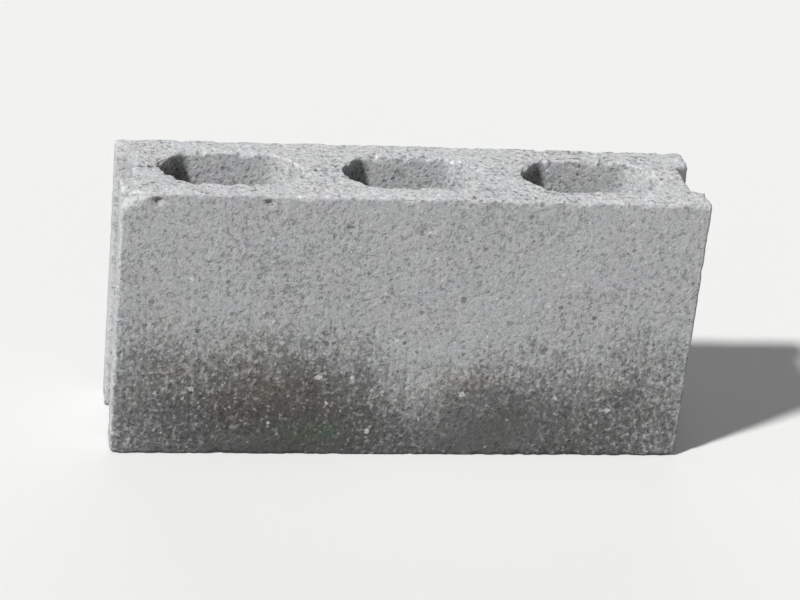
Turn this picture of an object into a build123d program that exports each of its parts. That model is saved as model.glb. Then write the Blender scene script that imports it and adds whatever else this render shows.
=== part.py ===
"""Three-cell hollow concrete block with a mortar groove in each end.

Millimetres. The length runs along X, the width along Y and the height along Z.
The origin is the middle of the underside, so the block stands on Z = 0.
The block is one casting. Its three cells run right through it and are drafted,
a little wider at the top, because the steel cores of the mould lift out upwards.
"""

import math
import os

from build123d import *

# Outside of the block, as the mould box gives it.
block_length = 390.0
block_width = 90.0
block_height = 190.0
corner_radius = 2.0
arris = 1.0

# Walls around the cells, measured on the top face. The end wall is behind the groove.
cell_count = 3
face_shell = 20.5
web = 27.0
end_wall = 18.0

# Outline of one cell: a hexagon, long in X, with two blunt noses and rounded shoulders.
nose_half_angle = 52.0
nose_radius = 14.0
shoulder_radius = 16.0
core_draft = 0.3

# Groove that runs up the whole height of each end.
groove_mouth = 44.0
groove_floor = 36.0
groove_depth = 9.0
groove_root_radius = 3.0
groove_lip_radius = 1.5

# Mark that the bar carrying the cores leaves along the middle of the top face.
bar_mark_width = 3.0
bar_mark_depth = 2.0

# The cells share what the walls leave of the length and the width.
half_length = block_length / 2
half_width = block_width / 2
cell_width = block_width - 2 * face_shell
cells_span = block_length - 2 * (end_wall + groove_depth)
cell_length = (cells_span - (cell_count - 1) * web) / cell_count
cell_pitch = cell_length + web

top_plane = Plane(origin=(0, 0, block_height), z_dir=(0, 0, 1))


def lies_at(value, distance):
    """True where a coordinate is the given distance from the middle plane."""
    return math.isclose(abs(value), distance, abs_tol=1e-6)


def end_outline(side):
    """One end of the plan, from the +Y corner through the groove to the -Y corner."""
    face = side * half_length
    floor = side * (half_length - groove_depth)
    return [
        (face, half_width),
        (face, groove_mouth / 2),
        (floor, groove_floor / 2),
        (floor, -groove_floor / 2),
        (face, -groove_mouth / 2),
        (face, -half_width),
    ]


def round_corners(sketch, distance, radius):
    """Rounds the sketch's corners that lie the given distance from its long middle line."""
    fillet(sketch.vertices().filter_by(lambda corner: lies_at(corner.Y, distance)), radius)


def block_plan():
    """Plan of the block without its cells: a rectangle with a groove in each end."""
    with BuildSketch() as plan:
        Polygon(*end_outline(1), *reversed(end_outline(-1)), align=None)
        round_corners(plan, half_width, corner_radius)
        round_corners(plan, groove_mouth / 2, groove_lip_radius)
        round_corners(plan, groove_floor / 2, groove_root_radius)
    return plan.sketch


def cell_outline():
    """Outline of one cell about the origin: a hexagon, pointed before its noses are rounded."""
    half_angle = math.radians(nose_half_angle)
    tip = cell_length / 2 + nose_radius * (1 / math.sin(half_angle) - 1)
    side = cell_width / 2
    shoulder = tip - side / math.tan(half_angle)
    right_half = [(shoulder, -side), (tip, 0), (shoulder, side)]
    left_half = [(-x, -y) for x, y in right_half]
    with BuildSketch() as outline:
        Polygon(*right_half, *left_half, align=None)
        round_corners(outline, 0, nose_radius)
        round_corners(outline, side, shoulder_radius)
    return outline.sketch


def core():
    """One core of the mould: full size at the top face, narrowing downwards by the draft."""
    prism = extrude(top_plane * cell_outline(), amount=-block_height)
    sides = [face for face in prism.faces() if lies_at(face.normal_at().Z, 0)]
    return draft(sides, neutral_plane=top_plane, angle=-core_draft)


def bar_mark():
    """V-shaped prism along the middle of the top face, from end to end."""
    with BuildSketch(Plane.YZ.offset(-half_length)) as notch:
        Polygon(
            (-bar_mark_width / 2, block_height),
            (0, block_height - bar_mark_depth),
            (bar_mark_width / 2, block_height),
            align=None,
        )
    return extrude(notch.sketch, amount=block_length)


def concrete_block():
    """The whole casting: grooved block, less its cells, with soft arrises and the bar mark."""
    block = extrude(block_plan(), amount=block_height)
    first_cell = -cell_pitch * (cell_count - 1) / 2
    for index in range(cell_count):
        block -= Pos(first_cell + index * cell_pitch, 0, 0) * core()
    bed_faces = block.faces().sort_by(Axis.Z)
    block = chamfer(bed_faces[0].edges() + bed_faces[-1].edges(), arris)
    return block - bar_mark()


block = concrete_block()
os.makedirs("parts", exist_ok=True)
export_step(block, "parts/concrete_block.step")
print(f"cells {cell_length:.1f} x {cell_width:.1f} mm at a pitch of {cell_pitch:.1f} mm")
print(f"solids {len(block.solids())}, volume {block.volume / 1e6:.3f} litres")
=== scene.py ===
# %% [markdown]
# # A hollow concrete block
# The real thing is one casting of dry-mix concrete, stripped from its mould straight after tamping.
# So its faces are flat but grainy and pored, its edges crumble, and the steel cores leave three
# tapered cells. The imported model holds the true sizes. This script loads it as a fixed frame and
# builds the same casting again as one closed mesh that is fine enough to carry real relief.

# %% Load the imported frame
import itertools
import math

import bpy
import numpy as np
from mathutils import Euler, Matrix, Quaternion, Vector


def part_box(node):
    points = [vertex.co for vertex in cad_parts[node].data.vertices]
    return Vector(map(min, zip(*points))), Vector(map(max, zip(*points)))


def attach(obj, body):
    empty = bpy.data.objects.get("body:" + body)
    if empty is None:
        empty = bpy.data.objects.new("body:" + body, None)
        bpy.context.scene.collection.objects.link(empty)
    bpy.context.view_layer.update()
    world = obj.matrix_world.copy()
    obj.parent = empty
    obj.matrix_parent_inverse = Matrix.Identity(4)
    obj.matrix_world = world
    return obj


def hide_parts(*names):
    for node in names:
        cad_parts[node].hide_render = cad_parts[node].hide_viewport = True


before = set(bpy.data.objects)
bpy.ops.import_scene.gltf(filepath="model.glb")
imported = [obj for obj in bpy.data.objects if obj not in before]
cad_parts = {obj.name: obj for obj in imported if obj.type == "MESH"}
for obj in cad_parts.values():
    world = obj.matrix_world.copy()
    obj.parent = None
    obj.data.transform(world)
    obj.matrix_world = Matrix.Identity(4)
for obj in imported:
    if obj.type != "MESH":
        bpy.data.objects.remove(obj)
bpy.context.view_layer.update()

block_low, block_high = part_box("concrete_block")
block_length, block_width, block_height = block_high - block_low
block_middle = (block_low + block_high) / 2
mm = 0.001
print(f"block {block_length / mm:.0f} x {block_width / mm:.0f} x {block_height / mm:.0f} mm")

# %% [markdown]
# ## Camera
# A longer lens on the same spot gives the photograph's perspective, only nearer. The spot was worked
# out from the block's corners in the photograph. A shifted lens could frame the block without turning
# the camera, but a shift stays on in every other view, so the camera is turned onto the block instead,
# by the shortest turn, which keeps the picture's slight lean.

# %% Put the camera where the photograph was taken
photo_place = Vector((-0.308, -1.557, 0.867))
photo_heading = math.radians(0.4)
photo_pitch = math.radians(-13.25)
photo_lean = math.radians(1.9)
camera_lens = 117.0

photo_turn = Euler((math.pi / 2 + photo_pitch, 0, photo_heading)).to_quaternion()
photo_turn = photo_turn @ Quaternion((0, 0, 1), photo_lean)
photo_gaze = photo_turn @ Vector((0, 0, -1))
to_block = (block_middle - photo_place).normalized()

camera_data = bpy.data.cameras.new("photo_camera")
camera_data.lens = camera_lens
camera = bpy.data.objects.new("photo_camera", camera_data)
camera.rotation_mode = "QUATERNION"
camera.location = photo_place
camera.rotation_quaternion = photo_gaze.rotation_difference(to_block) @ photo_turn
bpy.context.scene.collection.objects.link(camera)
bpy.context.scene.camera = camera
print(f"camera {(photo_place - block_middle).length:.2f} m from the middle of the block")

# %% [markdown]
# ## Floor and light
# A main lamp stands where the daylight came from, to the left of the long face and about half way up.
# It rakes over that face, which is what makes the grain and the pores show. Two weak, very soft lamps
# fill the front and the back, low enough not to shine into the cells, and the world adds a little
# light from all round. A floor or a world can show the camera one colour and throw another on the
# block: the backdrop then looks nearly white, and the block isn't flooded with light from below.

# %% Tell what is looked at from what only throws light
def looked_at(nodes, links):
    """1 for a ray from the camera, a gloss or a glass, and 0 for light that is scattered about."""
    path = nodes.new("ShaderNodeLightPath")
    answer = path.outputs["Is Camera Ray"]
    for kind in ("Is Glossy Ray", "Is Transmission Ray"):
        either = nodes.new("ShaderNodeMath")
        either.operation = "MAXIMUM"
        links.new(answer, either.inputs[0])
        links.new(path.outputs[kind], either.inputs[1])
        answer = either.outputs[0]
    return answer


# %% Lay the floor
floor_half_size = 8.0
floor_gap = 0.2 * mm
floor_seen = (0.73, 0.73, 0.72, 1)
floor_thrown = (0.34, 0.34, 0.33, 1)
floor_roughness = 0.9
# A Mix node has sockets of one name for numbers and for colours, so its colour ones go by number.
first_colour, second_colour, mixed_colour = 6, 7, 2

floor_finish = bpy.data.materials.new("pale_floor")
floor_finish.use_nodes = True
floor_nodes, floor_links = floor_finish.node_tree.nodes, floor_finish.node_tree.links
floor_mix = floor_nodes.new("ShaderNodeMix")
floor_mix.data_type = "RGBA"
floor_mix.inputs[first_colour].default_value = floor_thrown
floor_mix.inputs[second_colour].default_value = floor_seen
floor_shader = floor_nodes["Principled BSDF"]
floor_links.new(looked_at(floor_nodes, floor_links), floor_mix.inputs[0])
floor_links.new(floor_mix.outputs[mixed_colour], floor_shader.inputs["Base Color"])
floor_shader.inputs["Roughness"].default_value = floor_roughness

floor_corners = [(x * floor_half_size, y * floor_half_size, -floor_gap)
                 for x, y in ((-1, -1), (1, -1), (1, 1), (-1, 1))]
floor_mesh = bpy.data.meshes.new("floor")
floor_mesh.from_pydata(floor_corners, [], [(0, 1, 2, 3)])
floor_mesh.materials.append(floor_finish)
floor = bpy.data.objects.new("floor", floor_mesh)
bpy.context.scene.collection.objects.link(floor)
print(f"floor {2 * floor_half_size:.0f} m wide, {floor_gap / mm:.1f} mm below the block")

# %% Hang the lamps
# Each lamp has the way to it from the middle of the block, its strength and the angle that it fills.
lamps = {
    "main_lamp": (Vector((-0.58, -0.335, 0.743)), 4.05, math.radians(5)),
    "front_fill": (Vector((-0.15, -0.96, 0.24)), 0.20, math.radians(50)),
    "back_fill": (Vector((0.05, 0.96, 0.26)), 0.70, math.radians(50)),
}

for name, (direction, strength, spread) in lamps.items():
    lamp_data = bpy.data.lights.new(name, "SUN")
    lamp_data.energy = strength
    lamp_data.angle = spread
    lamp = bpy.data.objects.new(name, lamp_data)
    lamp.location = block_middle + direction
    lamp.rotation_mode = "QUATERNION"
    lamp.rotation_quaternion = direction.to_track_quat("Z", "Y")
    bpy.context.scene.collection.objects.link(lamp)
    print(f"{name} {math.degrees(math.asin(direction.normalized().z)):.0f} degrees up")

# %% Light the world
world_strength = 0.15
world_colour = (0.97, 0.985, 1.0, 1)
backdrop_colour = (1, 1, 1, 1)

world = bpy.data.worlds.new("studio")
world.use_nodes = True
bpy.context.scene.world = world
world_nodes, world_links = world.node_tree.nodes, world.node_tree.links
world_nodes.clear()
even_light = world_nodes.new("ShaderNodeBackground")
even_light.inputs["Color"].default_value = world_colour
even_light.inputs["Strength"].default_value = world_strength
backdrop = world_nodes.new("ShaderNodeBackground")
backdrop.inputs["Color"].default_value = backdrop_colour
either_light = world_nodes.new("ShaderNodeMixShader")
world_links.new(looked_at(world_nodes, world_links), either_light.inputs[0])
world_links.new(even_light.outputs[0], either_light.inputs[1])
world_links.new(backdrop.outputs[0], either_light.inputs[2])
world_output = world_nodes.new("ShaderNodeOutputWorld")
world_links.new(either_light.outputs[0], world_output.inputs["Surface"])
bpy.context.scene.view_settings.view_transform = "Standard"
print(f"the world throws a light of {world_strength} and shows a backdrop of {backdrop_colour[0]}")

# %% [markdown]
# ## Outlines
# Seen from above the block is one closed outline with a groove in each end, and three rounded
# hexagons. Both are corners joined by straight runs, with each corner rounded by an arc. Cutting
# cells out of a box with a Boolean would leave long thin faces, which can't carry relief, so the
# outlines are traced as points here and joined by even faces later. One function traces them. It can
# also trace an outline moved in by any distance with the same number of points, so rings that lie
# side by side match point for point.

# %% Trace a closed outline with rounded corners
least_radius = 0.25 * mm
grading = 1.6
corner_step = 0.2


def graded(count):
    """Shares from 0 to 1 in steps that grow from the first to the last: (e^gk/n - 1) / (e^g - 1)."""
    return np.expm1(grading * np.arange(count + 1) / count) / math.expm1(grading)


def run_shares(count, kind):
    """Where the points of a straight run lie between its ends: evenly, or closer together at one end,
    or evenly but with one more beside the rounded corner at an end, so that the shading of the corner
    doesn't spread over the flat face."""
    if kind in ("fine start", "fine finish"):
        share = graded(count)[1:-1]
    elif kind in ("corner start", "corner finish"):
        share = np.append(corner_step, np.arange(1, count - 1)) / (count - 1)
    else:
        share = np.arange(1, count) / count
    return 1 - share[::-1, None] if kind.endswith("finish") else share[:, None]


def trace(corners, radii, arc_steps, runs, inset=0.0):
    """Points of a closed outline, anticlockwise, and the way it faces at each. A run that faces n
    moves in to corner - inset (n + m) / (1 + n.m), where m is its neighbour's facing. A corner that
    juts out is rounded by radius - inset about a centre inside it, and one that cuts in by
    radius + inset about a centre outside it."""
    along = np.roll(corners, -1, axis=0) - corners
    along /= np.linalg.norm(along, axis=1)[:, None]
    after = np.stack([along[:, 1], -along[:, 0]], axis=1)
    before = np.roll(after, 1, axis=0)
    cosine = (before * after).sum(1)
    sine = before[:, 0] * after[:, 1] - before[:, 1] * after[:, 0]
    meet = (before + after) / (1 + cosine)[:, None]
    turn = np.arctan2(sine, cosine)
    side = np.where(turn >= 0, 1.0, -1.0)
    radius = np.where(side > 0, np.maximum(radii - inset, least_radius), radii + inset)
    radius = np.where(radii > 0, radius, 0)[:, None]
    centre = corners - inset * meet - side[:, None] * radius * meet
    start_angle = np.arctan2(before[:, 1], before[:, 0])
    first = centre + side[:, None] * radius * before
    last = centre + side[:, None] * radius * after
    points, facings = [], []
    for index, (steps, run) in enumerate(zip(arc_steps, runs)):
        angle = start_angle[index] + turn[index] * np.linspace(0, 1, steps + 1)
        facing = np.stack([np.cos(angle), np.sin(angle)], axis=1)
        points.append(centre[index] + side[index] * radius[index] * facing)
        facings.append(facing)
        share = run_shares(*run)
        points.append(last[index] + share * (np.roll(first, -1, axis=0)[index] - last[index]))
        facings.append(np.repeat(after[index][None], len(share), axis=0))
    return np.concatenate(points), np.concatenate(facings)


print(f"graded steps over a length of 1: {graded(4).round(2)}")

# %% [markdown]
# ## The outline of the block
# Its sizes repeat the casting's. Extra corners that don't turn split the long runs where a web lies
# and the groove's floor at its middle, so that the mesh has a line of points there.

# %% Repeat the casting's sizes
cell_count = 3
cell_length = 94.0 * mm
cell_pitch = 121.0 * mm
cell_width = 49.0 * mm
corner_radius = 2.0 * mm
groove_mouth = 44.0 * mm
groove_floor = 36.0 * mm
groove_depth = 9.0 * mm
groove_lip_radius = 1.5 * mm
groove_root_radius = 3.0 * mm
half_length = block_length / 2
half_width = block_width / 2
cell_places = (np.arange(cell_count) - (cell_count - 1) / 2) * cell_pitch
web_places = (np.arange(cell_count - 1) - (cell_count - 2) / 2) * cell_pitch
print(f"webs {(cell_pitch - cell_length) / mm:.0f} mm thick, face shells "
      f"{(block_width - cell_width) / 2 / mm:.1f} mm")

# %% List the corners of the block's outline
arc_points = 3


def end_corners(side):
    """Corners of one end from front to back: x, y, radius and steps of the arc."""
    face = side * half_length
    groove_base = side * (half_length - groove_depth)
    half_mouth = groove_mouth / 2
    half_floor = groove_floor / 2
    upper = [
        (groove_base, half_floor, groove_root_radius, arc_points),
        (face, half_mouth, groove_lip_radius, arc_points),
        (face, half_width, corner_radius, arc_points),
    ]
    lower = [(x, -y, radius, steps) for x, y, radius, steps in reversed(upper)]
    return lower + [(groove_base, 0.0, 0.0, 0)] + upper


front_corners = [(x, -half_width, 0.0, 0) for x in web_places]
back_corners = [(x, half_width, 0.0, 0) for x in reversed(web_places)]
outline_corners = front_corners + end_corners(1) + back_corners + end_corners(-1)[::-1]
outline_table = np.array(outline_corners)
outline_xy, outline_radii = outline_table[:, :2], outline_table[:, 2]
outline_arcs = outline_table[:, 3].astype(int)
print(f"{np.sum(outline_radii > 0)} corners that turn, {np.sum(outline_radii == 0)} that don't")

# %% Spread points over the runs between the corners
spacing = 2.3 * mm
floor_steps = 9
run_lengths = np.linalg.norm(np.roll(outline_xy, -1, axis=0) - outline_xy, axis=1)
on_groove_floor = np.isclose(np.abs(outline_xy[:, 0]), half_length - groove_depth)
floor_middles = on_groove_floor & (outline_xy[:, 1] == 0)


def run_plan(index):
    """Steps of the run after a corner, and how its points are spread."""
    after = (index + 1) % len(outline_xy)
    if floor_middles[index]:
        return floor_steps, "fine start"
    if floor_middles[after]:
        return floor_steps, "fine finish"
    steps = max(2, round(run_lengths[index] / spacing))
    if outline_radii[index] == corner_radius:
        return steps + 1, "corner start"
    if outline_radii[after] == corner_radius:
        return steps + 1, "corner finish"
    return steps, "even"


outline_runs = [run_plan(index) for index in range(len(outline_xy))]
points_from_corner = [steps + run_steps for steps, (run_steps, _) in zip(outline_arcs, outline_runs)]
ring_starts = np.concatenate([[0], np.cumsum(points_from_corner)])


def block_ring(inset):
    """The block's outline moved in by inset, as points and facings."""
    return trace(outline_xy, outline_radii, outline_arcs, outline_runs, inset)


print(f"{ring_starts[-1]} points round the block")

# %% [markdown]
# ## The outlines of the cells
# A cell's hexagon is traced very finely once and then sampled by the length along it. Its four sides
# are the two flats and the two noses. Each gets as many points as the stretch of the block's outline,
# or the line along a web, that it looks at. Points crowd at the tips of the noses, because the mark
# of the core bar runs there and is only 3 mm wide.

# %% Trace one cell
nose_half_angle = math.radians(52.0)
nose_radius = 14.0 * mm
shoulder_radius = 16.0 * mm
fine_steps = 60
nose_tip = cell_length / 2 + nose_radius * (1 / math.sin(nose_half_angle) - 1)
half_cell = cell_width / 2
shoulder = nose_tip - half_cell / math.tan(nose_half_angle)
cell_corners = np.array([
    (0.0, -half_cell), (shoulder, -half_cell), (nose_tip, 0.0), (shoulder, half_cell),
    (-shoulder, half_cell), (-nose_tip, 0.0), (-shoulder, -half_cell)])
cell_radii = np.array([0.0, shoulder_radius, nose_radius, shoulder_radius,
                       shoulder_radius, nose_radius, shoulder_radius])
cell_arcs = [0] + [fine_steps] * (len(cell_corners) - 1)
cell_runs = [(fine_steps, "even")] * len(cell_corners)
cell_path, cell_outward = trace(cell_corners, cell_radii, cell_arcs, cell_runs)
cell_steps = np.linalg.norm(np.roll(cell_path, -1, axis=0) - cell_path, axis=1)
cell_lengths = np.concatenate([[0], np.cumsum(cell_steps)])
cell_girth = cell_lengths[-1]
# Half of the front flat comes first, in as many points as the arc of the shoulder after it has steps.
shoulder_middle = fine_steps + fine_steps // 2
shoulder_place = cell_lengths[shoulder_middle]
print(f"a cell is {np.ptp(cell_path[:, 0]) / mm:.1f} x {np.ptp(cell_path[:, 1]) / mm:.1f} mm")


# %% Sample the cell's outline
def nose_places(steps):
    """Lengths from the tip of a nose to the middle of a shoulder and back, closest at the tip."""
    half = graded(steps // 2) * (cell_girth / 4 - shoulder_place)
    return np.concatenate([-half[::-1], half[1:]])


def sampled(values, places):
    """The values of the finely traced outline at those lengths along it, on straight lines between."""
    closed = np.vstack([values, values[:1]])
    return np.stack([np.interp(places, cell_lengths, column) for column in closed.T], axis=1)


def cell_ring(front, right, back, left):
    """Points round a cell from its front left shoulder, anticlockwise, with the number of steps on
    each of its four sides, and the way the concrete faces there, into the cell."""
    flat = np.linspace(-1, 1, front + 1) * shoulder_place
    back_flat = cell_girth / 2 + np.linspace(-1, 1, back + 1) * shoulder_place
    right_nose = cell_girth / 4 + nose_places(right)
    left_nose = cell_girth * 3 / 4 + nose_places(left)
    places = np.concatenate([flat[:-1], right_nose[:-1], back_flat[:-1], left_nose[:-1]]) % cell_girth
    facing = -sampled(cell_outward, places)
    return sampled(cell_path, places), facing / np.linalg.norm(facing, axis=1)[:, None]


print(f"the outline of a cell is {cell_girth / mm:.0f} mm long")

# %% [markdown]
# ## Arrises
# A fresh block has edges as sharp as the mould. Handling wears them round, more in some places than
# in others. A Bevel would round them all alike. Here the mesh has closer rows of points near an
# arris, on both faces, and each of them slides straight onto a quarter circle. Its radius changes
# along the edge with smooth noise, so the noise comes first.

# %% Noise on a lattice
bits = np.uint64(0xFFFFFFFF)
odd_x, odd_y, odd_z, odd_seed = (
    np.uint64(number) for number in (374761393, 668265263, 2246822519, 3266489917))
noise_turn = np.array([[0.36, 0.48, -0.8], [-0.8, 0.6, 0.0], [0.48, 0.64, 0.6]])


def lattice_numbers(cells, seed):
    """A number from 0 to 1 for each lattice cell, the same on every run: its three whole numbers times
    large odd numbers are added, then shifted, combined and multiplied until no order shows."""
    x, y, z = (cells[..., axis].astype(np.int64).astype(np.uint64) & bits for axis in range(3))
    number = (x * odd_x + y * odd_y + z * odd_z + np.uint64(seed) * odd_seed) & bits
    number = ((number ^ (number >> np.uint64(15))) * odd_z) & bits
    number = ((number ^ (number >> np.uint64(13))) * odd_seed) & bits
    return (number ^ (number >> np.uint64(16))) / float(bits)


def smooth_noise(points, size, seed):
    """From 0 to 1, changing over about size: the numbers of the eight lattice points round a place,
    blended along each axis by 3t^2 - 2t^3."""
    spots = points / size
    cells = np.floor(spots)
    share = spots - cells
    share = share * share * (3 - 2 * share)
    blended = np.zeros(len(points))
    for corner in itertools.product((0, 1), repeat=3):
        weight = np.prod(np.where(corner, share, 1 - share), axis=1)
        blended += weight * lattice_numbers(cells + corner, seed)
    return blended


def layered_noise(points, size, layers, seed):
    """Smooth noise added up in layers, each turned, half the size and half as strong as the last. The
    first is turned too, because a flat face along the lattice would show its lines."""
    total, weight, weights = np.zeros(len(points)), 1.0, 0.0
    for layer in range(layers):
        points = points @ noise_turn
        total += weight * smooth_noise(points, size, seed + layer)
        weights += weight
        size, weight = size / 2, weight / 2
    return total / weights


print(f"three lattice numbers: {lattice_numbers(np.arange(9.0).reshape(3, 3), 0).round(3)}")


# %% Round an arris
def step_up(value, start, end):
    """0 up to start and 1 from end on, by 3t^2 - 2t^3 between them."""
    share = np.clip((value - start) / (end - start), 0, 1)
    return share * share * (3 - 2 * share)


arris_rows = np.array([5.0, 3.6, 2.5, 1.6, 0.9, 0.35]) * mm
foot_rows = np.array([5.0, 3.0, 1.5, 0.6]) * mm
most_worn = 4.6 * mm
wear_size = 32 * mm
chip_size = 5.5 * mm
chip_levels = 0.45, 0.75


def worn_radius(ring, height, least, usual, chipped, seed):
    """How far an arris is worn round at each point: least, plus long gentle wear, plus short chips
    where fine noise is high."""
    places = np.column_stack([ring, np.full(len(ring), height)])
    gentle = layered_noise(places, wear_size, layers=1, seed=seed)
    chips = step_up(layered_noise(places, chip_size, layers=2, seed=seed + 10), *chip_levels)
    return np.minimum(least + usual * gentle ** 2 + chipped * chips, most_worn)


def softened(inset, drop, radius):
    """Moves a point of a sharp arris onto a quarter circle of that radius, straight away from its
    centre. Returns its new inset and drop, and the part of its facing that is outward and upward."""
    near = (inset < radius) & (drop < radius)
    reach = np.where(near, np.hypot(radius - inset, radius - drop), 1.0)
    outward = np.where(near, (radius - inset) / reach, drop > 0)
    upward = np.where(near, (radius - drop) / reach, drop <= 0)
    inset = np.where(near, radius - radius * outward, inset)
    drop = np.where(near, radius - radius * upward, drop)
    return inset, drop, outward, upward


print(f"{len(arris_rows)} rows on each side of an upper arris and {len(foot_rows)} of a lower one")

# %% [markdown]
# ## Sheets of points
# The casting's skin is made of sheets, each a grid of points that closes on itself round the block or
# round a cell. A wall is an outline carried down from the bed's rim, over the arris, down the
# face and under the lower arris. A bed fills the flat between the wall of the block and that of a
# cell. Its points lie on straight lines between two rings.

# %% Carry an outline down a wall
sheets = []
edge_reach = 3.0 * mm


def add_sheet(points, facings, nearness, inside_out):
    """Keeps a grid of points with the way each faces and how near an edge it lies, from 0 to 1."""
    sheets.append((points, facings, nearness, inside_out))


def carry_down(ring_at, mid_drops, worn_top, worn_foot, taper, side_nearness, inside_out):
    """A wall: point (row, column) is the ring of the row's inset, at the column, lowered by the row's
    drop. taper moves the ring towards the way it faces by that much for each metre down. The rows
    come in over the upper arris, go down the face, and go in again under the lower arris, where they
    are counted up from the foot."""
    insets = np.concatenate([arris_rows, [0], 0 * arris_rows, 0 * mid_drops, 0 * foot_rows, [0],
                             foot_rows[::-1]])
    drops = np.concatenate([0 * arris_rows, [0], arris_rows[::-1], mid_drops])
    rises = np.concatenate([foot_rows, [0], 0 * foot_rows])
    rings = [ring_at(inset) for inset in insets]
    ring, facing = (np.array(part) for part in zip(*rings))
    height_from_edge = np.concatenate([drops, rises])[:, None]
    at_foot = (np.arange(len(insets)) >= len(drops))[:, None]
    worn = np.where(at_foot, worn_foot, worn_top)
    inset, drop, outward, upward = softened(insets[:, None], height_from_edge, worn)
    height = np.where(at_foot, drop, block_height - drop)
    slide = insets[:, None] - inset + taper * (block_height - height)
    points = np.dstack([ring + slide[..., None] * facing, height])
    facings = np.dstack([outward[..., None] * facing, np.where(at_foot, -upward, upward)])
    nearness = np.exp(-(insets[:, None] + height_from_edge) / edge_reach) + 0 * height
    add_sheet(points, facings, np.maximum(nearness, side_nearness), inside_out)


# %% Make the wall round the block
middle_height = block_height - arris_rows[0] - foot_rows[0]
outer_rows = round(middle_height / spacing)
outer_drops = arris_rows[0] + middle_height * np.arange(1, outer_rows) / outer_rows
rim = block_ring(0.0)[0]

# The upright arrises crumble too, a little less than those of the beds.
upright_crumbling = 0.6
upright_reach = 1 * mm
jutting = outline_xy[np.isclose(np.abs(outline_xy[:, 0]), half_length)]
to_jutting = np.linalg.norm(rim[:, None] - jutting, axis=2).min(axis=1)
rim_nearness = upright_crumbling * np.exp(-np.maximum(to_jutting - upright_reach, 0) / edge_reach)

carry_down(
    block_ring, outer_drops,
    worn_radius(rim, block_height, least=0.9 * mm, usual=1.6 * mm, chipped=2.4 * mm, seed=1),
    worn_radius(rim, 0.0, least=0.7 * mm, usual=1.0 * mm, chipped=2.4 * mm, seed=2),
    taper=0.0, side_nearness=rim_nearness, inside_out=False)
print(f"outer wall {sheets[-1][0].shape[0]} rows of {sheets[-1][0].shape[1]} points")

# %% [markdown]
# ## Beds and cells
# The bed is split along the middles of the webs, so that each cell has a patch of bed round it with
# four sides. Two are stretches of the block's edge. The other two are a web's middle line, or the
# whole grooved end. The ring round the cell gets as many points on each side as the patch has, so the
# straight lines between them stay short and even.

# %% Find the four sides of the patch round a cell
web_steps = 22
bed_edge = block_ring(arris_rows[0])[0]
web_y = graded(web_steps) * (half_width - arris_rows[0])
web_y = np.concatenate([-web_y[::-1], web_y[1:]])

# The outline's corners come in this order: front webs, right end, back webs, left end. A grooved end
# is the stretch from its first corner's first point to its last corner's last.
end_size = len(end_corners(1))
right_end = len(front_corners)
left_end = right_end + end_size + len(back_corners)
right_stretch = ring_starts[right_end], ring_starts[right_end + end_size - 1] + arc_points
left_stretch = ring_starts[left_end], ring_starts[left_end + end_size - 1] + arc_points
front_stops = [left_stretch[1] - ring_starts[-1], *ring_starts[:right_end + 1]]
back_stops = [right_stretch[1], *ring_starts[right_end + end_size:left_end + 1]][::-1]


def bed_stretch(first, last):
    """Points of the bed's edge from one point's number up to another's, without the last."""
    return bed_edge[np.arange(first, last) % len(bed_edge)]


def web_line(place, backwards):
    """Points along the middle of a web, from the front to the back, or backwards, without the last."""
    y = web_y[::-1] if backwards else web_y
    return np.column_stack([np.full(len(y) - 1, place), y[:-1]])


def patch_sides(index):
    """Front, right, back and left side of the bed round a cell, each without its last point."""
    first, last = index == 0, index == cell_count - 1
    return [
        bed_stretch(front_stops[index], front_stops[index + 1]),
        bed_stretch(*right_stretch) if last else web_line(web_places[index], False),
        bed_stretch(back_stops[index + 1], back_stops[index]),
        bed_stretch(*left_stretch) if first else web_line(web_places[index - 1], True),
    ]


print(f"points on the sides of the middle patch: {[len(side) for side in patch_sides(1)]}")

# %% Make the walls of the cells and the beds round them
core_draft = math.radians(0.3)
bed_rings = 10
cell_rows = 40
cell_drops = arris_rows[0] + middle_height * graded(cell_rows)[1:-1]


def fill_bed(around, rim, inside_out):
    """A patch of bed: the point at (row, column) lies row / rows of the way from around to the rim."""
    share = np.linspace(0, 1, bed_rings + 1)[:, None, None]
    edge = np.column_stack([around, np.full(len(around), rim[0, 2])])
    points = (1 - share) * edge + share * rim
    facings = np.zeros_like(points) + [0, 0, 1 if inside_out else -1]
    from_rim = arris_rows[0] + np.linalg.norm(points - rim, axis=2)
    add_sheet(points, facings, np.exp(-from_rim / edge_reach), inside_out)


for index, cell_x in enumerate(cell_places):
    sides = patch_sides(index)
    ring, ring_facing = cell_ring(*[len(side) for side in sides])
    ring = ring + [cell_x, 0]
    carry_down(
        lambda inset: (ring - inset * ring_facing, ring_facing), cell_drops,
        worn_radius(ring, block_height, least=0.8 * mm, usual=1.7 * mm, chipped=3.6 * mm, seed=3),
        worn_radius(ring, 0.0, least=0.6 * mm, usual=1.0 * mm, chipped=2.0 * mm, seed=4),
        taper=math.tan(core_draft), side_nearness=0.0, inside_out=True)
    cell_wall = sheets[-1][0]
    fill_bed(np.concatenate(sides), cell_wall[0], True)
    fill_bed(np.concatenate(sides), cell_wall[-1], False)
    print(f"cell {index + 1}: {len(ring)} points round it")

# %% [markdown]
# ## One closed skin
# Where two sheets meet, they have the same points. Those become one point each, by rounding every
# place to a thousandth of a millimetre, and then each edge of the mesh must have a face on both sides.

# %% Join the sheets
join_grid = 0.001 * mm


def grid_faces(rows, columns, start, inside_out):
    """Faces of a grid whose last column meets its first, anticlockwise as seen from outside."""
    row, column = np.mgrid[0:rows - 1, 0:columns]
    beside = (column + 1) % columns
    corners = (row, column), (row + 1, column), (row + 1, beside), (row, beside)
    faces = np.stack([start + i * columns + j for i, j in corners], axis=-1).reshape(-1, 4)
    return faces[:, ::-1] if inside_out else faces


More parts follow.
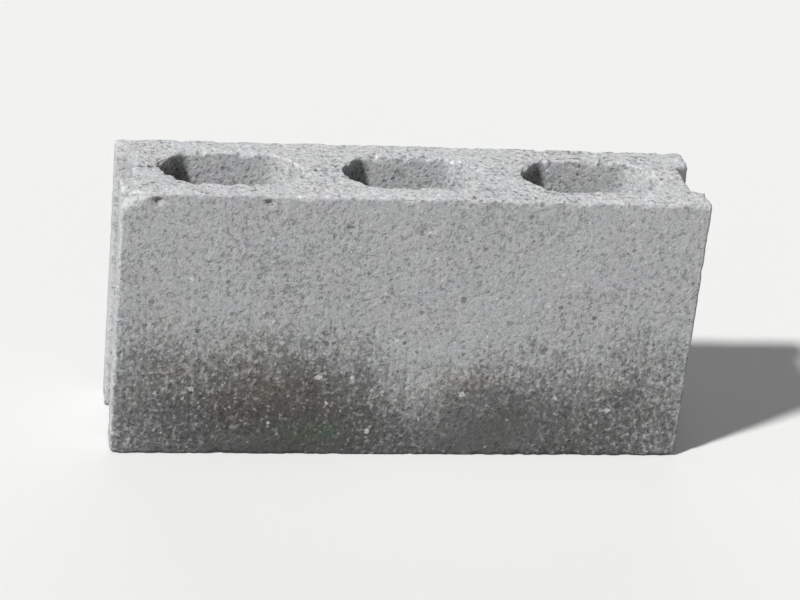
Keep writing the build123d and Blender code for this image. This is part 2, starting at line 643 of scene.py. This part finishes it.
sheet_starts = np.cumsum([0] + [points.shape[0] * points.shape[1] for points, *_ in sheets])
faces = np.concatenate([
    grid_faces(points.shape[0], points.shape[1], start, inside_out)
    for (points, _, _, inside_out), start in zip(sheets, sheet_starts)])
points, facings, nearness = (
    np.concatenate([sheet[part].reshape(sheet_starts[i + 1] - sheet_starts[i], -1)
                    for i, sheet in enumerate(sheets)]) for part in range(3))
_, first_of, joined = np.unique(np.rint(points / join_grid).astype(np.int64), axis=0,
                                return_index=True, return_inverse=True)
points, facings, nearness = points[first_of], facings[first_of], nearness[first_of, 0]
facings = facings / np.linalg.norm(facings, axis=1)[:, None]
faces = joined.reshape(-1)[faces]

edges = np.sort(np.stack([faces, np.roll(faces, -1, axis=1)], axis=-1).reshape(-1, 2), axis=1)
_, faces_at_edge = np.unique(edges, axis=0, return_counts=True)
print(f"{len(points)} points, {2 * len(faces)} triangles, {np.sum(faces_at_edge != 2)} open edges")

# %% [markdown]
# ## Relief
# A dry mix leaves the mould with long shallow waves, lumps where coarse grains sit under the skin,
# upright drag marks and open pits. Its beds are rougher than its sides, and its edges crumble. All of
# it is a depth below the flat face, so the block never grows past its true size. What is finer than
# the mesh is left to the material.

# %% Scatter pits
def ball_depth(apart, radius):
    """How deep a ball or a round bar presses in at a distance from its middle: the root of radius
    squared less that distance squared, and 0 outside it."""
    return np.sqrt(np.maximum(radius ** 2 - apart ** 2, 0))


def pits(points, size, share, least, most, seed):
    """Depth of scattered pits. Space is cut into cubes, and that share of them holds a ball of random
    place, with a radius from least to most that is more often near least."""
    depth = np.zeros(len(points))
    cubes = np.floor(points / size)
    for step in itertools.product((-1, 0, 1), repeat=3):
        cube = cubes + step
        middle = size * (cube + np.stack([lattice_numbers(cube, seed + k) for k in range(3)], axis=1))
        radius = least + (most - least) * lattice_numbers(cube, seed + 3) ** 2
        radius = np.where(lattice_numbers(cube, seed + 4) < share, radius, 0)
        depth = np.maximum(depth, ball_depth(np.linalg.norm(points - middle, axis=1), radius))
    return depth


bed_levels = 0.6, 0.95
pit_depth, more_pit_on_bed = 0.4, 0.3
on_bed = step_up(np.abs(facings[:, 2]), *bed_levels)
holes = (pit_depth + more_pit_on_bed * on_bed) * pits(
    points, size=16 * mm, share=0.25, least=1.6 * mm, most=3.2 * mm, seed=60)
print(f"{np.mean(holes > 0):.1%} of the points lie in a pit, {holes.max() / mm:.1f} mm deep at most")

# %% Work out how deep the surface lies at each point
wave_depth, wave_size = 0.25 * mm, 50 * mm
lump_depth, more_lump_on_bed, lump_size = 0.07, 0.30, 5.5 * mm
drag_depth, drag_size, drag_length = 0.10 * mm, 6 * mm, 0.08
crumb_depth, crumb_size, crumb_levels = 1.1 * mm, 5 * mm, (0.5, 0.8)

long_grain = points * [1, 1, drag_length]
waves = wave_depth * layered_noise(points, wave_size, layers=2, seed=20)
lumps = (lump_depth + more_lump_on_bed * on_bed) * mm
lumps = lumps * layered_noise(points, lump_size, layers=2, seed=30)
drags = drag_depth * (1 - on_bed) * layered_noise(long_grain, drag_size, layers=2, seed=40)
crumbly = step_up(layered_noise(points, crumb_size, layers=2, seed=50), *crumb_levels)
crumbs = crumb_depth * nearness * crumbly
relief = waves + lumps + drags + crumbs
print(f"relief {relief.mean() / mm:.2f} mm deep on average, {relief.max() / mm:.1f} mm at most")

# %% [markdown]
# ## Marks of its own
# The bar that carries the cores is pressed into the wet top, and its groove is half closed again by
# crumbs. A few larger pits and a gouge lie where this very block has them. A pit is a ball and a
# gouge is a round bar, and both are pressed into the face. One corner has lost a flake, which is cut
# off by a plane with a rough face. Marks that are too small for the mesh are in the material.

# %% Press the bar's mark, single pits and the gouge into it
bar_mark_width = 3.0 * mm
bar_mark_depth = 2.0 * mm
bar_crumb_size, bar_crumb_levels = 9 * mm, (0.40, 0.62)
upward = 0.5
# In mm: x, z and radius on the long face, and x and radius along the bar's mark.
front_pits = [(-172, 185, 2.8), (-100, 185.5, 2.3), (-46, 169, 2.2)]
bar_pits = [(-173, 2.6), (-179, 2.2), (-186, 2.6), (-64, 2.2), (-57, 1.8), (62, 2.0)]
gouge_start, gouge_end, gouge_radius = (0, 166), (5, 170), 1.5

bar_crumbs = layered_noise(points * [1, 0, 0], bar_crumb_size, layers=2, seed=70)
bar_open = step_up(bar_crumbs, *bar_crumb_levels)
bar_profile = np.maximum(1 - np.abs(points[:, 1]) / (bar_mark_width / 2), 0)
bar_mark = bar_mark_depth * bar_profile * bar_open * (facings[:, 2] > upward)
pit_places = [(x * mm, -half_width, z * mm, radius * mm) for x, z, radius in front_pits]
pit_places += [(x * mm, 0, block_height, radius * mm) for x, radius in bar_pits]
for *middle, radius in pit_places:
    holes = np.maximum(holes, ball_depth(np.linalg.norm(points - middle, axis=1), radius))

gouge_from, gouge_to = (np.array([x * mm, -half_width, z * mm]) for x, z in (gouge_start, gouge_end))
gouge_way = gouge_to - gouge_from
gouge_share = np.clip((points - gouge_from) @ gouge_way / (gouge_way @ gouge_way), 0, 1)
from_gouge = np.linalg.norm(points - gouge_from - gouge_share[:, None] * gouge_way, axis=1)
holes = np.maximum(holes, ball_depth(from_gouge, gouge_radius * mm))
carved = points - (relief + holes + bar_mark)[:, None] * facings
print(f"{len(pit_places)} single pits, and {np.sum(bar_mark > 0)} points in the bar's mark")

# %% Break the flake off the corner
flake_along, flake_in, flake_down = 23.0 * mm, 9.0 * mm, 13.0 * mm
flake_roughness, flake_grain = 0.22, 5 * mm
flake_bite = 1.15

flake_corner = np.array([-half_length, -half_width, block_height])
flake_slope = np.array([1 / flake_along, 1 / flake_in, -1 / flake_down])
flake_rough = flake_roughness * (layered_noise(points, flake_grain, layers=3, seed=80) - 0.5)
flake_share = 1 + flake_rough - (carved - flake_corner) @ flake_slope
flake = flake_bite * np.maximum(flake_share, 0) / (flake_slope @ flake_slope)
carved = carved + flake[:, None] * flake_slope
print(f"the flake took {np.sum(flake > 0)} points with it")

# %% Make the mesh
block_mesh = bpy.data.meshes.new("casting")
block_mesh.from_pydata(carved, [], faces)
block_mesh.polygons.foreach_set("use_smooth", np.ones(len(faces), dtype=bool))
block_mesh.update()
casting = bpy.data.objects.new("casting", block_mesh)
bpy.context.scene.collection.objects.link(casting)
print(f"visual corners {carved.min(axis=0) / mm} to {carved.max(axis=0) / mm}")

# %% [markdown]
# ## Damp and dirt
# The foot of the block is dark where splashed dirt and damp have crept up. On the long face the dirt
# rises to a wavy line, about a third of the way up, and fades over a broad band. The line is a plain
# height with a few smooth swells and dips, and noise pushes it about. Low down, damp has washed the
# dirt into smooth smears, a little green grows, and the dirt's upper edge is brown in two places.
# A narrow band along the very foot of the long face is darker still, which is painted shade. The mesh
# only carries how strong each of these is at a point. The material breaks them up into grains, which
# are far finer than the mesh.

# %% Tell which face each point is on
# The rows of an arris reach 5 mm in from the edge, and a groove 9 mm in from the end. Each band is a
# little wider, and an upright face further in belongs to a cell.
edge_band = 6 * mm
end_band = 1.2 * groove_depth
facing_levels = 0.3, 0.9

on_long_face = np.abs(points[:, 1]) > half_width - edge_band
outside = on_long_face | (np.abs(points[:, 0]) > half_length - end_band)
shows_front, shows_back, shows_upright = (
    step_up(way, *facing_levels) for way in (-facings[:, 1], facings[:, 1], np.hypot(*facings[:, :2].T)))
shows_front, shows_back = shows_front * on_long_face, shows_back * on_long_face
shows_end = np.maximum(shows_upright - shows_front - shows_back, 0)
print(f"{np.mean(outside):.0%} of the points are outside, the rest in the cells")

# %% Draw the dirt's line
dirt_wander = 10 * mm
wander_size = 20 * mm
dirt_fade = 40.0
wander = [dirt_wander * (2 * layered_noise(points, wander_size, layers=2, seed=seed) - 1)
          for seed in (90, 95)]
along, height = points[:, 0] + wander[0], points[:, 2] + wander[1]


def swell(place, middle, half):
    """A smooth swell 1 high: e to the power of minus the square of (x - middle) / half, in mm."""
    return np.exp(-((place / mm - middle) / half) ** 2)


def wavy(plain, swells):
    """A plain number with swells and dips along the block: how high, its middle and half width."""
    return sum((high * swell(along, middle, half) for high, middle, half in swells), start=plain)


def patches(*places):
    """Soft round patches on the long face, each a swell along times a swell up: middle and half width
    along the face, then middle and half width up it."""
    return shows_front * sum(swell(along, x, half_x) * swell(height, z, half_z)
                             for x, half_x, z, half_z in places)


def risen(line):
    """1 below the line and 0 above, fading over the band on both sides of it."""
    return 1 - step_up(height / mm, line - dirt_fade, line + dirt_fade)


front_line = wavy(61, [(12, -150, 90), (-2, -120, 20), (7, -66, 18), (-18, 15, 24), (-3, 115, 20),
                       (15, 160, 18)])
back_line = wavy(30, [(26, -95, 50), (16, 80, 70)])
end_line = 12
print(f"the dirt on the long face rises to {front_line.min():.0f} to {front_line.max():.0f} mm")

# %% Work out how dirty each point is, and the painted shade at its foot
front_dirt_and_shade_strength = wavy(0.86, [(0.17, -68, 50), (-0.25, -195, 32), (-0.06, 12, 14), (0.08, 62, 26),
                             (-0.27, 195, 34)])
back_strength = wavy(0.49, [(0.18, 90, 60)])
end_strength = 0.44
foot_painted_shade, foot_height = 0.10, 7
smear_thins = 0.06
rub_cleans = 0.6
rub_reach = 3.0 * mm

smeared = patches((62, 50, 14, 26), (-98, 40, 8, 13))
algae = patches((-59, 18, 17, 9))
brownness = patches((-92, 50, 55, 23), (38, 18, 58, 12))
from_end = half_length - np.abs(points[:, 0])
rubbed = np.exp(-(from_end / rub_reach) ** 2)
# The lowest 7 mm of the long face get more of it: painted shade where the block meets the floor.
front_dirt_and_shade_strength = front_dirt_and_shade_strength + foot_painted_shade * (1 - step_up(height / mm, 0, foot_height))
front_dirt_and_foot_shade = shows_front * (front_dirt_and_shade_strength - smear_thins * smeared) * risen(front_line)
back_dirt = shows_back * back_strength * risen(back_line)
end_dirt = shows_end * end_strength * risen(end_line)
dirtiness_and_foot_shade = outside * (1 - rub_cleans * rubbed) * (front_dirt_and_foot_shade + back_dirt + end_dirt)
print(f"{np.mean(dirtiness_and_foot_shade > 0.5):.0%} of the points are dirty")

# %% Work out what is paler or darker for other reasons, and the painted light and shade
# Rubbed arrises are paler. The grooves are a little darker, which is painted shade. The lower part of
# the long face is a little darker, and the long face's right half less so. The beds and the walls of
# the cells are a little paler, which is painted light. The side of the left nose that the daylight
# didn't reach is darker, which is painted shade, more so further down. The grain is open on the
# beds, which no steel smoothed, and about half as open in the cells.
rub_pales, groove_painted_shade, haze_darkens = 0.11, 0.10, 0.07
bed_painted_light, cell_painted_light, shade_darkens = 0.04, 0.13, 0.60
groove_fade = 1 * mm, 5 * mm
haze_top, haze_from, haze_to = (90, 170), -60, 0
haze_lost = 0.5
shade_levels, shade_depth = (0.6, 0.95), 11 * mm
hollow_levels = 0.3 * mm, 1.6 * mm
cell_openness = 0.55

# The grooves are painted darker: painted shade in the recess at each end.
in_groove = (np.abs(points[:, 1]) < groove_mouth / 2 + corner_radius) * step_up(from_end, *groove_fade)
haze = shows_front * (1 - step_up(height / mm, *haze_top))
haze = haze * (1 - haze_lost * step_up(along / mm, haze_from, haze_to))
shaded_way = np.array([math.sin(nose_half_angle), -math.cos(nose_half_angle), 0])
shaded_nose = step_up(facings @ shaded_way, *shade_levels)
shaded_nose = shaded_nose * step_up(block_height - points[:, 2], 0, shade_depth)
outer_paleness_and_painted_shade = rub_pales * rubbed - groove_painted_shade * in_groove - haze_darkens * haze
# In the cells the walls are painted paler, which is painted light, and the shaded side of each left nose
# is painted shade.
wall_paleness_and_painted_light = np.where(outside, outer_paleness_and_painted_shade, cell_painted_light - shade_darkens * shaded_nose)
# The beds are painted a little paler, which is painted light on the top.
paleness_and_painted_light = bed_painted_light * on_bed + (1 - on_bed) * wall_paleness_and_painted_light
# Pits, crumbs and the bar's mark are darkened in the tone below, which is painted shade in the hollows.
hollowness = step_up(holes + crumbs + bar_mark, *hollow_levels)
openness = np.where(outside, on_bed, np.maximum(on_bed, cell_openness))
print(f"{np.mean(hollowness > 0.5):.0%} of the points are hollow")

# %% Store these numbers in the mesh
carried = {
    "dirtiness_and_foot_shade": dirtiness_and_foot_shade, "smeared": smeared, "algae": algae, "brownness": brownness,
    "hollowness": hollowness, "openness": openness, "paleness_and_painted_light": paleness_and_painted_light,
}
for name, values in carried.items():
    block_mesh.attributes.new(name, "FLOAT", "POINT").data.foreach_set("value", values)
print(f"the mesh carries {', '.join(carried)}")

# %% [markdown]
# ## Concrete
# Close up, the face is sand set in grey paste, with open pores between the grains and a few pale or
# dark stones. A photograph of concrete would show the same spots again and again, so the material is
# made of noise and random cells with true sizes. Cells of four sizes stand for the sand, the dust, the
# pores and the stones. Noise clouds and mottles the paste, makes it gritty and crusted, and streaks it
# upright where the mould was drawn off. Each adds to one number, the tone, that the grey is
# multiplied by.

# %% Short ways to write nodes
concrete = bpy.data.materials.new("concrete")
concrete.use_nodes = True
concrete_shader = concrete.node_tree.nodes["Principled BSDF"]


def add_node(kind, sockets, **settings):
    """Adds a node to the concrete and fills its sockets, each with a value or a link."""
    made = concrete.node_tree.nodes.new(kind)
    for name, value in settings.items():
        setattr(made, name, value)
    for name, value in sockets.items():
        if isinstance(value, bpy.types.NodeSocket):
            concrete.node_tree.links.new(value, made.inputs[name])
        else:
            made.inputs[name].default_value = value
    return made


def maths(operation, *values):
    """One step of arithmetic on one, two or three numbers."""
    return add_node("ShaderNodeMath", dict(enumerate(values)), operation=operation).outputs[0]


def grown(value, share, amount):
    """The value times 1 plus that amount of the share, so a negative amount makes it less."""
    return maths("MULTIPLY", value, maths("MULTIPLY_ADD", share, amount, 1.0))


def add_up(total, parts):
    """Adds weight times (part - middle) to a total for each part, weight and middle."""
    for part, weight, middle in parts:
        from_middle = maths("SUBTRACT", part, middle) if middle else part
        total = maths("MULTIPLY_ADD", from_middle, weight, total)
    return total


def ramp(value, start, end):
    """Goes smoothly from 0 to 1 as the value goes from start to end."""
    sockets = {"Value": value, "From Min": start, "From Max": end}
    return add_node("ShaderNodeMapRange", sockets, interpolation_type="SMOOTHSTEP").outputs[0]


def carried_by_mesh(name):
    """The number that the mesh carries under that name."""
    return add_node("ShaderNodeAttribute", {}, attribute_name=name).outputs["Fac"]


# %% Noise and random cells
pattern_turn = (0.6, 0.4, 0.9)
upright_stretch = (1, 1, 0.3)
spot = add_node("ShaderNodeTexCoord", {}).outputs["Object"]
place = add_node("ShaderNodeMapping", {"Vector": spot, "Rotation": pattern_turn}).outputs[0]
upright = add_node("ShaderNodeMapping", {
    "Vector": spot, "Rotation": pattern_turn, "Scale": upright_stretch}).outputs[0]


def noise(size, detail, roughness=0.5, where=place):
    """Noise from 0 to 1 that changes over about size."""
    sockets = {"Vector": where, "Scale": 1 / size, "Detail": detail, "Roughness": roughness}
    return add_node("ShaderNodeTexNoise", sockets).outputs[0]


def grains(size):
    """Random cells about size across: the distance from the middle, and three random numbers."""
    texture = add_node("ShaderNodeTexVoronoi", {"Vector": place, "Scale": 1 / size})
    parts = add_node("ShaderNodeSeparateColor", {"Color": texture.outputs["Color"]})
    return texture.outputs["Distance"], parts.outputs


cloud = noise(70 * mm, detail=2.0)
drift = noise(24 * mm, detail=2.0)
tinge = noise(38 * mm, detail=2.0)
mottle = noise(9 * mm, detail=3.0, roughness=0.6)
grit = noise(1.5 * mm, detail=4.0, roughness=0.75)
crust = noise(3.4 * mm, detail=4.0, roughness=0.62)
streak = noise(2.6 * mm, detail=2.0, where=upright)
_, sand = grains(1.9 * mm)
_, dust = grains(0.9 * mm)
pore_distance, pore = grains(4.5 * mm)
stone_distance, stone = grains(7.0 * mm)
print(f"{len(concrete.node_tree.nodes)} nodes with the noise and the random cells")

# %% Voids, pores and stones
# Voids open where the crust is low, fewer of them where the cloud is high and where the grain is open.
# A pore or a stone is a round spot in the middle of its random cell, with a ragged edge.
cloud_closes, open_closes, usual_closing = 0.20, 0.03, -0.125
void_levels = 0.41, 0.33
pore_power, pore_reach, pore_ragged, pore_levels = 6.0, 0.42, 0.25, (0.12, 0.24)
stone_reach, stone_ragged, stone_levels = 0.22, 0.2, (0.08, 0.13)
pale_levels, dark_levels = (0.66, 0.72), (0.34, 0.28)

open_face = carried_by_mesh("openness")
painted_shade_in_hollows = carried_by_mesh("hollowness")
upright_shows = maths("MULTIPLY", maths("SUBTRACT", streak, 0.5), maths("SUBTRACT", 1.0, open_face))
closing = add_up(usual_closing, [(open_face, open_closes, 0), (cloud, cloud_closes, 0)])
voids = ramp(maths("ADD", crust, closing), *void_levels)
pore_size = maths("MULTIPLY", maths("POWER", pore[0], pore_power), pore_reach)
pore_edge = maths("MULTIPLY_ADD", grit, pore_ragged, maths("SUBTRACT", pore_size, pore_distance))
pore_depth = maths("MULTIPLY", ramp(pore_edge, *pore_levels), pore[1])
stone_size = maths("MULTIPLY", stone[0], stone_reach)
stone_edge = maths("MULTIPLY_ADD", grit, stone_ragged, maths("SUBTRACT", stone_size, stone_distance))
stone_shows = ramp(stone_edge, *stone_levels)
stone_pale = maths("MULTIPLY", stone_shows, ramp(stone[1], *pale_levels))
stone_dark = maths("MULTIPLY", stone_shows, ramp(stone[1], *dark_levels))
print(f"{len(concrete.node_tree.nodes)} nodes with the voids, pores and stones")

# %% The tone
smear_calms, open_enlivens = -0.55, 0.7
# The weight on the hollows is painted shade in the pits, crumbs and the bar's mark.
contrast = add_up(0.0, [
    (cloud, 0.11, 0.5), (mottle, 0.16, 0.5), (grit, 0.60, 0.5), (crust, 0.34, 0.5),
    (sand[0], 0.20, 0.5), (dust[0], 0.22, 0.5), (voids, -0.16, 0.1), (pore_depth, -0.35, 0),
    (stone_pale, 0.30, 0), (stone_dark, -0.26, 0), (painted_shade_in_hollows, -0.35, 0), (upright_shows, 0.22, 0)])
smear = carried_by_mesh("smeared")
liveliness = add_up(1.0, [(open_face, open_enlivens, 0), (smear, smear_calms, 0)])
# This number holds painted light and shade: paler beds and cell walls, darker grooves and left noses.
tone_with_painted_light = maths("ADD", carried_by_mesh("paleness_and_painted_light"), 1.0)
tone = maths("MULTIPLY_ADD", contrast, liveliness, tone_with_painted_light)
print(f"{len(concrete.node_tree.nodes)} nodes with the tone")

# %% [markdown]
# ## Flecks and specks
# A pale fleck is a stone or a bit of lime, and a dark speck is a hole the size of a grain. The larger
# ones are set one by one, where they are on the real face, as small round marks whose edges the grit
# makes ragged. They are too small for the mesh, so they are in the material.

# %% Flecks and specks where this block has them
# x, z and radius on the long face, in mm.
flecks = [(-143, 49, 2.5), (-58, 59, 2.2), (-36, 59, 1.7), (-52, 40, 1.6), (-23, 18, 2.3), (40, 47, 2.3),
          (105, 45, 2.2), (142, 35, 2.3), (-90, 24, 1.5), (-9, 88, 2.0), (-85, 84, 2.3), (92, 115, 2.1),
          (12, 27, 1.4), (148, 59, 1.2), (-117, 36, 1.6), (6, 166, 1.9), (-147, 130, 1.6), (-96, 160, 1.7),
          (-43, 112, 1.9), (31, 86, 1.6)]
specks = [(-83, 171, 1.6), (-172, 113, 1.9), (-123, 128, 1.7), (-31, 136, 1.5), (-175, 96, 1.5),
          (-141, 92, 1.6), (-119, 105, 1.6), (7, 108, 1.8), (34, 118, 2.0), (45, 155, 1.7), (-55, 84, 1.9)]
fleck_tone, speck_tone = 0.3, -0.42
mark_fade = 0.8
mark_rough = add_up(4.0 * mm, [(grit, -3.0 * mm, 0), (crust, -5.0 * mm, 0)])


def marks(places):
    """1 inside any of a few round marks on the long face: the largest of one ramp for each, down from
    1 to 0 over the distance from its middle, which the grit and the crust make ragged."""
    shows = 0.0
    for x, z, radius in places:
        sockets = {0: spot, 1: (x * mm, -half_width, z * mm)}
        apart = add_node("ShaderNodeVectorMath", sockets, operation="DISTANCE").outputs["Value"]
        apart = maths("ADD", apart, mark_rough)
        shows = maths("MAXIMUM", shows, ramp(apart, radius * mm, (radius - mark_fade) * mm))
    return shows


fleck_shows = marks(flecks)
speck_shows = marks(specks)
tone = add_up(tone, [(fleck_shows, fleck_tone, 0), (speck_shows, speck_tone, 0)])
print(f"{len(flecks)} flecks and {len(specks)} specks")

# %% [markdown]
# ## Dirt among the grains
# Dirt settles in the hollows of the face and leaves the grains that stand out bare. So the textures of
# the concrete push the smooth number from the mesh up and down, and it is cut off at 0 and at the most
# that dirt covers. Pale stones and flecks stay cleaner, and where the dirt is smeared, little pushes.

# %% Dirt that breaks up into grains
bare_power = 5.0
streak_bares = -0.9
smear_evens = -0.85
least_cover, more_cover, most_cover = 0.35, 0.60, 0.92
first_dirt = 0.08
stone_cleans, fleck_cleans = -0.5, -0.9

# The number from the mesh holds the dirt and also the painted shade at the foot.
dirty_and_foot_shaded = carried_by_mesh("dirtiness_and_foot_shade")
bare_grain = maths("POWER", sand[1], bare_power)
ragged = add_up(maths("MULTIPLY", upright_shows, streak_bares), [
    (mottle, -0.63, 0.5), (crust, -1.15, 0.5), (grit, -0.4, 0.5), (dust[1], -0.2, 0.5),
    (bare_grain, -0.55, 0.17)])
ragged = grown(ragged, smear, smear_evens)
cover = maths("MINIMUM", maths("MULTIPLY_ADD", dirty_and_foot_shaded, more_cover, least_cover), most_cover)
dirt_and_foot_shade_shows = maths("MINIMUM", maths("MAXIMUM", maths("ADD", ragged, dirty_and_foot_shaded), 0.0), cover)
dirt_and_foot_shade_shows = maths("MULTIPLY", dirt_and_foot_shade_shows, ramp(dirty_and_foot_shaded, 0.0, first_dirt))
dirt_and_foot_shade_shows = grown(dirt_and_foot_shade_shows, stone_pale, stone_cleans)
dirt_and_foot_shade_shows = grown(dirt_and_foot_shade_shows, fleck_shows, fleck_cleans)
print(f"{len(concrete.node_tree.nodes)} nodes with the dirt")

# %% [markdown]
# ## Colour, bump and gloss
# The grey is nearly neutral. The tone makes it paler or darker, the dirt takes most of its light, and
# slow noise and the grains of sand turn it a little warmer, cooler or greener. The textures that
# darken the face also make the bump, so what looks like a hole is one under any lamp. Dry concrete
# has hardly any gloss.

# %% Mix the colour
clean_grey = (0.478, 0.485, 0.488)
dirt_and_shade_loss = (-0.852, -0.857, -0.861)
warmth = (0.11, 0.01, -0.12)
tinge_shift = (-0.06, 0.05, -0.02)
algae_tint = (-0.30, 0.05, -0.24)
algae_levels = 0.35, 0.6
usual_brown, more_brown = 0.12, 0.72
drift_warmth, sand_warmth = 0.65, 0.25


def shift(colour, amount, by):
    """Multiplies a colour by 1 plus the amount of a small shift of its red, green and blue."""
    change = add_node("ShaderNodeVectorMath", {0: amount, 1: by, 2: (1, 1, 1)},
                      operation="MULTIPLY_ADD").outputs[0]
    return add_node("ShaderNodeVectorMath", {0: colour, 1: change}, operation="MULTIPLY").outputs[0]


browned = maths("MULTIPLY_ADD", carried_by_mesh("brownness"), more_brown, usual_brown)
hue = add_up(maths("MULTIPLY", dirt_and_foot_shade_shows, browned), [
    (drift, drift_warmth, 0.5), (sand[2], sand_warmth, 0.5)])
algae_shows = maths("MULTIPLY", carried_by_mesh("algae"), ramp(crust, *algae_levels))
colour = add_node("ShaderNodeVectorMath", {0: clean_grey, "Scale": tone}, operation="SCALE").outputs[0]
# The dirt's loss of light also darkens the painted shade at the foot.
colour = shift(colour, dirt_and_foot_shade_shows, dirt_and_shade_loss)
colour = shift(colour, hue, warmth)
colour = shift(colour, maths("SUBTRACT", tinge, 0.5), tinge_shift)
colour = shift(colour, algae_shows, algae_tint)
concrete.node_tree.links.new(colour, concrete_shader.inputs["Base Color"])
print(f"{len(concrete.node_tree.nodes)} nodes with the colour")

# %% Make the bump and the gloss
bump_height = 1 * mm
streak_bump, open_bump = 0.30, 0.6
concrete_roughness = 0.92
concrete_specular = 0.3

rise = add_up(maths("MULTIPLY", upright_shows, streak_bump), [
    (mottle, 0.18, 0), (grit, 0.45, 0), (crust, 0.50, 0), (voids, -0.34, 0), (pore_depth, -0.9, 0),
    (stone_shows, 0.12, 0), (speck_shows, -0.7, 0)])
bump = add_node("ShaderNodeBump", {"Height": grown(rise, open_face, open_bump), "Distance": bump_height})
concrete.node_tree.links.new(bump.outputs[0], concrete_shader.inputs["Normal"])
concrete_shader.inputs["Roughness"].default_value = concrete_roughness
concrete_shader.inputs["Specular IOR Level"].default_value = concrete_specular
block_mesh.materials.append(concrete)
print(f"{len(concrete.node_tree.nodes)} nodes in the concrete")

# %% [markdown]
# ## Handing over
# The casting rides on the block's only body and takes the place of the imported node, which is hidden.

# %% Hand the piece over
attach(casting, "root")
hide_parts("concrete_block")
